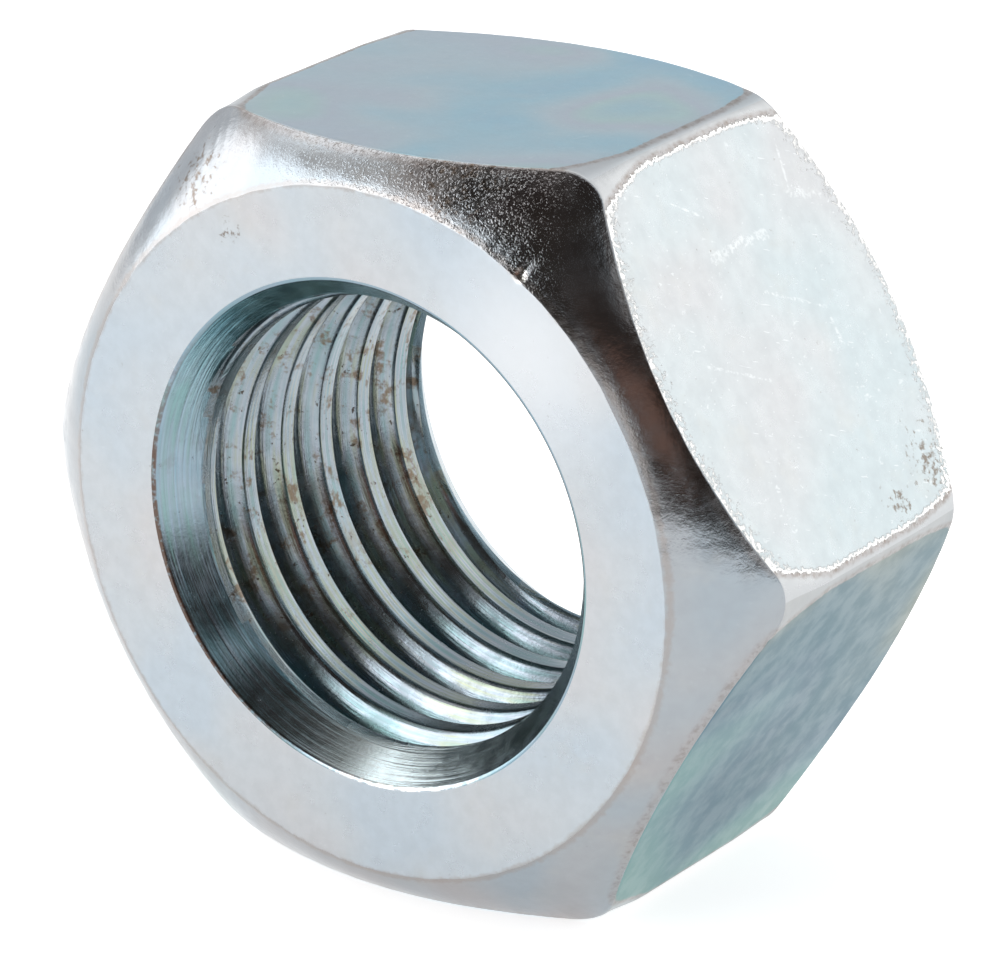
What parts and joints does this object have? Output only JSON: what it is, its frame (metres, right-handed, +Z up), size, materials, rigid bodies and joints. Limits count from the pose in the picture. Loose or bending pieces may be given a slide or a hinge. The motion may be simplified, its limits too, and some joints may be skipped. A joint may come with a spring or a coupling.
{
  "type": "hex nut",
  "caption": "Hex nut of zinc-plated steel with a right-hand coarse thread, chamfered on both sides, that clamps a joint on a bolt or threaded rod.",
  "frame": {"origin": "on the thread axis, half-way between the two bearing faces", "axes": "+Y along the thread axis, from the front bearing face to the back one; +Z up, square to the flat that the nut stands on; +X to the right, through an edge between two flats"},
  "size_m": [0.0344, 0.0176, 0.03],
  "materials": {
    "zinc_plated_steel": "electroplated zinc with a clear blue-white passivation: satin, pale blue-grey, faint iridescent tints"
  },
  "bodies": {
    "root": {"nut_body": "zinc_plated_steel"}
  },
  "joints": []
}
